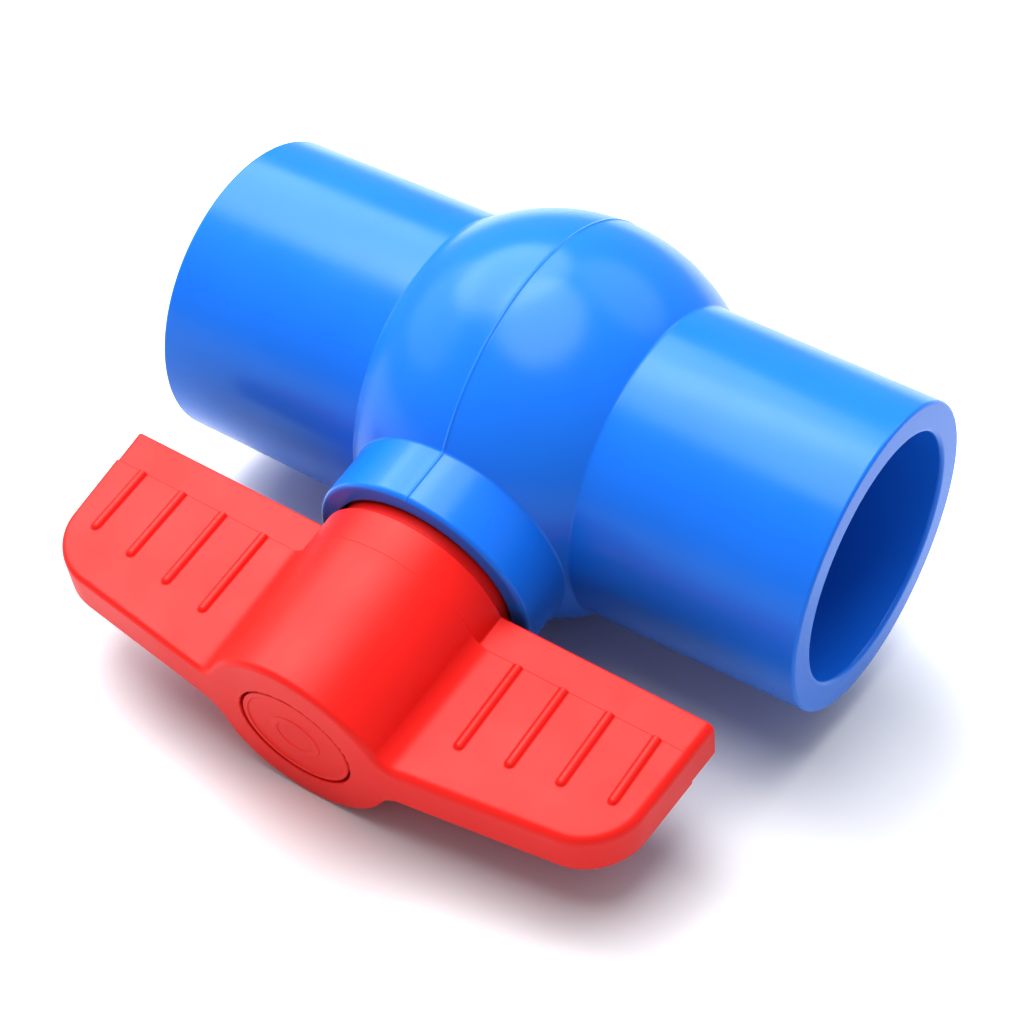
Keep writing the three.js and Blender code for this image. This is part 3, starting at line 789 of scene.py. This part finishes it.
def handle_hollow(x, reach, z):
    """Cap recess, screw well, drive socket, clearances and the notches for the stop keys."""
    r = np.hypot(x, z)
    low, high = DRIVE_REACH
    square = both(np.maximum(np.abs(x), np.abs(z)) - DRIVE_HALF, low - reach, DRIVE_CORNER)
    angle = np.degrees(np.arctan2(z, x))
    off_middle = np.abs(np.mod(angle - NOTCH_MIDDLE + 90.0, 180.0) - 90.0)
    sides = np.radians(off_middle - NOTCH_HALF_ANGLE) * r
    cuts = [
        both(r - CAP_RECESS, CAP_RECESS_FLOOR - reach, CAP_RECESS_CORNER),
        both(r - WELL, WELL_FLOOR - reach, WELL_CORNER),
        both(square, reach - high, DRIVE_CORNER),
        both(r - STEM_CLEARANCE, reach - STEM_CLEARANCE_REACH, CLEARANCE_CORNER),
        both(r - BOSS_CLEARANCE, reach - BOSS_CLEARANCE_REACH, CLEARANCE_CORNER),
        r - SCREW_CLEARANCE,
        np.maximum(sides, np.maximum(BOSS - r, reach - KEY_REACH - NOTCH_PLAY)),
    ]
    out = cuts[0]
    for cut in cuts[1:]:
        out = np.minimum(out, cut)
    return out


def handle_distance(x, reach, z):
    solid = either(handle_outside(x, reach, z), ribs(x, reach, z), RIB_FILLET)
    return both(solid, -handle_hollow(x, reach, z), HOLLOW_EDGE)


# ---- Handle: surface from the distance function -------------------------------------------------

def grid_lines(stretches):
    """Grid lines over (start, end, step) stretches that follow one another."""
    out = [stretches[0][0]]
    for start, end, step in stretches:
        count = max(1, round((end - start) / step))
        out.extend(start + (end - start) * (k + 1) / count for k in range(count))
    return np.array(out, np.float32)


def both_sides(half):
    """Lines on both sides of zero, from lines that start at zero."""
    return np.concatenate([-half[:0:-1], half])


def handle_grid():
    """Lines close together at the ribs, edges and parting line, and wide apart on the flats."""
    right = list(HUB_STRETCHES)
    at = right[-1][1]
    for i in range(RIB_COUNT):
        middle = RIB_FIRST + i * RIB_SPACING
        start, end = middle - RIB_STRETCH_HALF, middle + RIB_STRETCH_HALF
        right += [(at, start, BETWEEN_RIBS_STEP), (start, end, RIB_STEP)]
        at = end
    tip = WING_HALF_LENGTH - TIP_STRETCH
    right += [(at, tip, BEFORE_TIP_STEP), (tip, WING_HALF_LENGTH + GRID_MARGIN, TIP_STEP)]
    return (both_sides(grid_lines(right)), grid_lines(REACH_STRETCHES),
            both_sides(grid_lines(UP_STRETCHES)))


def surface_net(distance, lines):
    """Vertices and quads of the surface where distance is zero, on a grid of straight lines."""
    xs, us, zs = lines
    field = distance(xs[:, None, None], us[None, :, None], zs[None, None, :]).astype(np.float32)
    inside = field < 0
    shape = np.array(field.shape) - 1
    filled = np.zeros(shape, np.int8)
    corners = [(i, j, k) for i in (0, 1) for j in (0, 1) for k in (0, 1)]
    for i, j, k in corners:
        filled += inside[i:i + shape[0], j:j + shape[1], k:k + shape[2]]
    cells = np.argwhere((filled > 0) & (filled < 8))
    index = np.full(shape, -1, np.int64)
    index[tuple(cells.T)] = np.arange(len(cells))

    total, hits = np.zeros((len(cells), 3)), np.zeros(len(cells))
    places = (xs, us, zs)
    for low in corners:
        for axis in range(3):
            if low[axis]:
                continue
            high = tuple(c + (n == axis) for n, c in enumerate(low))
            a, b = cells + low, cells + high
            fa, fb = field[tuple(a.T)], field[tuple(b.T)]
            crossed = (fa < 0) != (fb < 0)
            share = np.where(crossed, fa / np.where(crossed, fa - fb, 1), 0)
            pa = np.stack([places[n][a[:, n]] for n in range(3)], 1)
            pb = np.stack([places[n][b[:, n]] for n in range(3)], 1)
            total += np.where(crossed[:, None], pa + share[:, None] * (pb - pa), 0)
            hits += crossed
    points = total / hits[:, None]

    quads = []
    for axis in range(3):
        along = np.take(inside, range(shape[axis]), axis)
        beyond = np.take(inside, range(1, shape[axis] + 1), axis)
        edges = np.argwhere(along != beyond)
        b, c = [n for n in range(3) if n != axis]
        enclosed = ((edges[:, b] > 0) & (edges[:, c] > 0)
                    & (edges[:, b] < shape[b]) & (edges[:, c] < shape[c]))
        edges = edges[enclosed]
        around = []
        for db, dc in ((-1, -1), (0, -1), (0, 0), (-1, 0)):
            cell = edges.copy()
            cell[:, b] += db
            cell[:, c] += dc
            around.append(index[tuple(cell.T)])
        quad = np.stack(around, 1)
        leaving = along[tuple(edges.T)]
        flip = ~leaving if axis == 1 else leaving
        quad[flip] = quad[flip][:, ::-1]
        quads.append(quad)
    return points, np.concatenate(quads)


def gradient(distance, points, step=0.01):
    """Slope of a distance function at each point, by small steps along the three axes."""
    out = np.zeros_like(points)
    for n in range(3):
        shift = np.zeros(3)
        shift[n] = step
        out[:, n] = (distance(*(points + shift).T) - distance(*(points - shift).T)) / (2 * step)
    return out


def settle(distance, points, rounds=4, most=0.25):
    """Moves points on to the surface along its normals."""
    for _ in range(rounds):
        slope = gradient(distance, points)
        value = distance(*points.T)
        move = -(value / np.maximum((slope**2).sum(1), 1e-6))[:, None] * slope
        length = np.maximum(np.linalg.norm(move, axis=1), 1e-9)
        points = points + move * np.minimum(1, most / length)[:, None]
    return points


def make_handle():
    normal_step = 0.02
    points, quads = surface_net(handle_distance, handle_grid())
    points = settle(handle_distance, points)
    facing = gradient(handle_distance, points, normal_step)
    flip = np.array((1, -1, 1))  # reach runs along -Y
    mesh = bpy.data.meshes.new("wing_handle")
    mesh.from_pydata((points * flip).tolist(), [], quads.tolist())
    place_mesh("wing_handle", mesh, facing * flip, "red_plastic", TURNING, ["handle"], True)


def make_cap():
    """Snap-in disc in the end of the hub: a shallow dish with two plain rings."""
    skirt = WELL - GAP
    skirt_edge, back_edge, face_edge = CAP_EDGES
    dish, ring = CAP_FACE - CAP_DISH, CAP_FACE - CAP_RING_SINK
    (outer_foot, outer_top), (inner_top, inner_foot) = CAP_RING
    outline = rounded([
        (CAP_BACK, CAP_AXIS_GAP, 0),
        (CAP_BACK, skirt - CAP_SKIRT_DRAFT, skirt_edge),
        (CAP_SHOULDER, skirt, CAP_SHOULDER_CORNER),
        (CAP_SHOULDER, CAP, back_edge),
        (CAP_FACE, CAP, face_edge),
        (CAP_FACE, CAP_RIM[0], CAP_RING_EDGE),
        (dish, CAP_RIM[1], CAP_RING_EDGE),
        (dish, outer_foot, CAP_RING_EDGE),
        (ring, outer_top, CAP_RING_EDGE),
        (ring, inner_top, CAP_RING_EDGE),
        (dish, inner_foot, CAP_RING_EDGE),
        (dish, CAP_AXIS_GAP, 0),
    ], 4)
    piece("hub_cap", solid_disc(outline, along_stem, CAP_ROUND), "red_plastic", TURNING,
          ["handle_cap"], turning=True)


# ---- Assembly -----------------------------------------------------------------------------------

make_camera()
make_world()
make_floor()
for box in SOFTBOXES:
    softbox(*box)
view = bpy.context.scene.view_settings
view.view_transform = "Standard"
view.gamma = DISPLAY_GAMMA
view.exposure = DISPLAY_EXPOSURE

materials = make_materials()
make_body()
make_ball()
make_carrier(-1)
make_carrier(1)
make_handle()
make_cap()

# The other nodes keep their CAD mesh and take the look of their material slot.
replaced = {"body", "ball", "handle", "handle_cap", "seat_carrier_left", "seat_carrier_right"}
slots = {part["node"]: part["material_slot"] for part in frame["record"]["subparts"]}
for name, node in frame["nodes"].items():
    if name in replaced:
        continue
    node.data.materials.clear()
    node.data.materials.append(materials[slots[name]])
